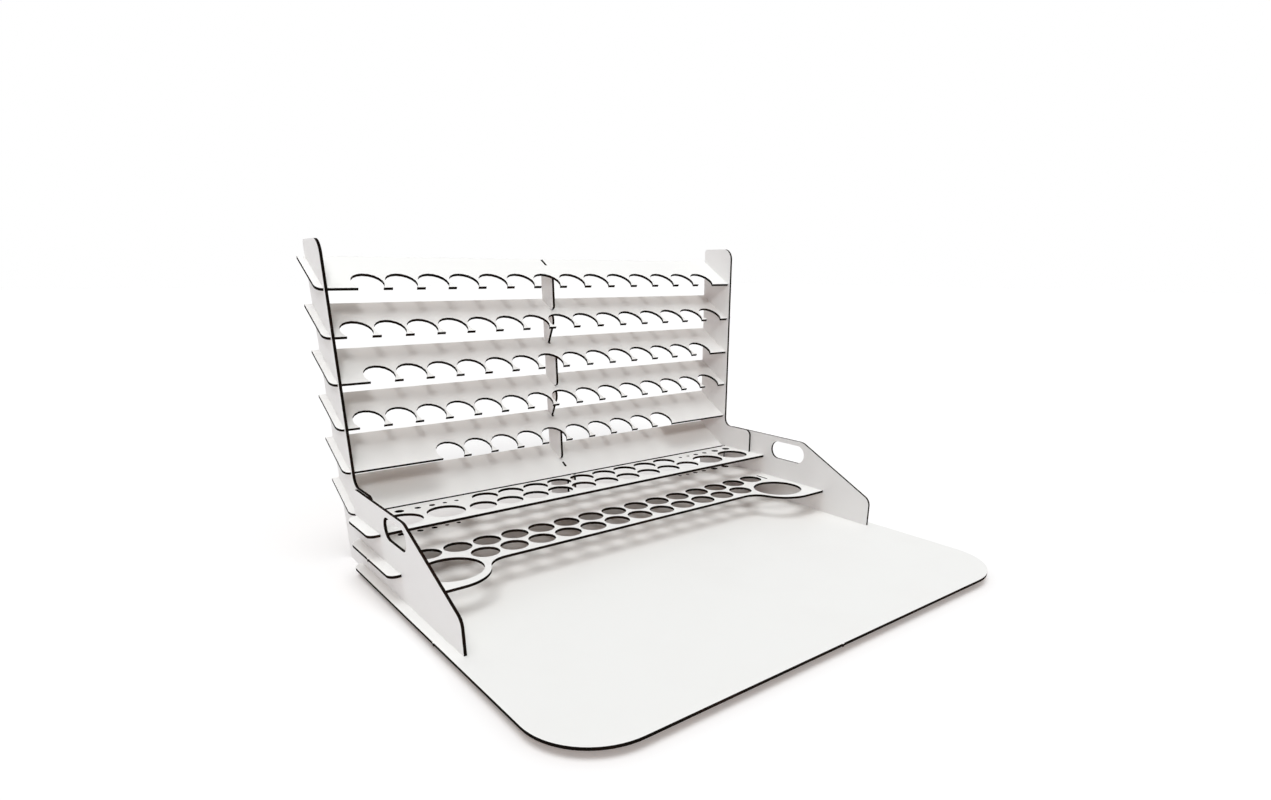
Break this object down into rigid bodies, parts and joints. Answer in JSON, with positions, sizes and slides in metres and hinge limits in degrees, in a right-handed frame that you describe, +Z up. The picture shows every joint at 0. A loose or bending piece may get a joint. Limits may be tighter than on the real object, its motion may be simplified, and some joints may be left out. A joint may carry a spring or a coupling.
{
  "type": "hobby workstation organizer",
  "caption": "Open paint station of slotted white board: a work board with side arms, perforated bottle trays and a rack of sloping, notched shelves.",
  "frame": {"origin": "on the floor, under the middle of the overall footprint", "axes": "+X to the right, +Y to the rear, towards the shelves, +Z up"},
  "size_m": [0.579, 0.5052, 0.3446],
  "materials": {
    "white_board": "satin white lacquer on 3 mm fibreboard, with dark laser-cut edges",
    "pad": "matt"
  },
  "bodies": {
    "root": {"base_board": "white_board", "right_arm": "white_board", "left_arm": "white_board", "right_side_panel": "white_board", "left_side_panel": "white_board", "centre_divider": "white_board", "centre_leg": "white_board", "upper_tray": "white_board", "lower_tray": "white_board", "shelf_1": "white_board", "shelf_2": "white_board", "shelf_3": "white_board", "shelf_4": "white_board", "shelf_5": "white_board", "shelf_6": "white_board", "pad_front_left": "pad", "pad_front_right": "pad", "pad_rear_left": "pad", "pad_rear_right": "pad"}
  },
  "joints": []
}
